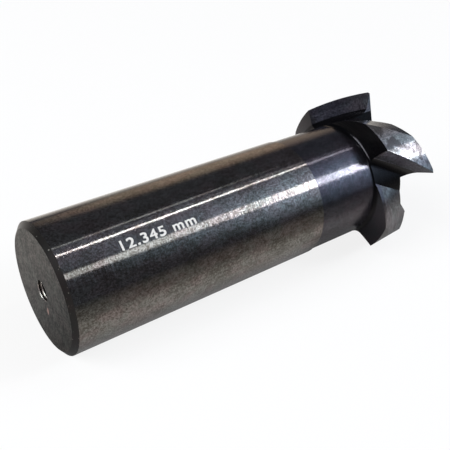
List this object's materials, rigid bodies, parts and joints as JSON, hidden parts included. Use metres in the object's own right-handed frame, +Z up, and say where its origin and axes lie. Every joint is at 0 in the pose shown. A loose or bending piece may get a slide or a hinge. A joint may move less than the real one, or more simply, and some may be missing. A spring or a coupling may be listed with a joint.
{
  "type": "end mill",
  "caption": "Solid carbide milling cutter lying on its side: plain cylindrical shank, thinner coated neck and a short wider head with helical teeth, drilled through for coolant.",
  "frame": {"origin": "under the middle of the cutter's box, on the surface it lies on", "axes": "+X along the cutter towards its head, whose axis rises by about 2.4 degrees from the shank's end to the head, +Z up"},
  "size_m": [0.1086, 0.041, 0.041],
  "materials": {
    "carbide": "ground carbide, bright on the shank, with a dark violet-black coating on neck and head"
  },
  "bodies": {
    "root": {"endmill": "carbide"}
  },
  "joints": []
}
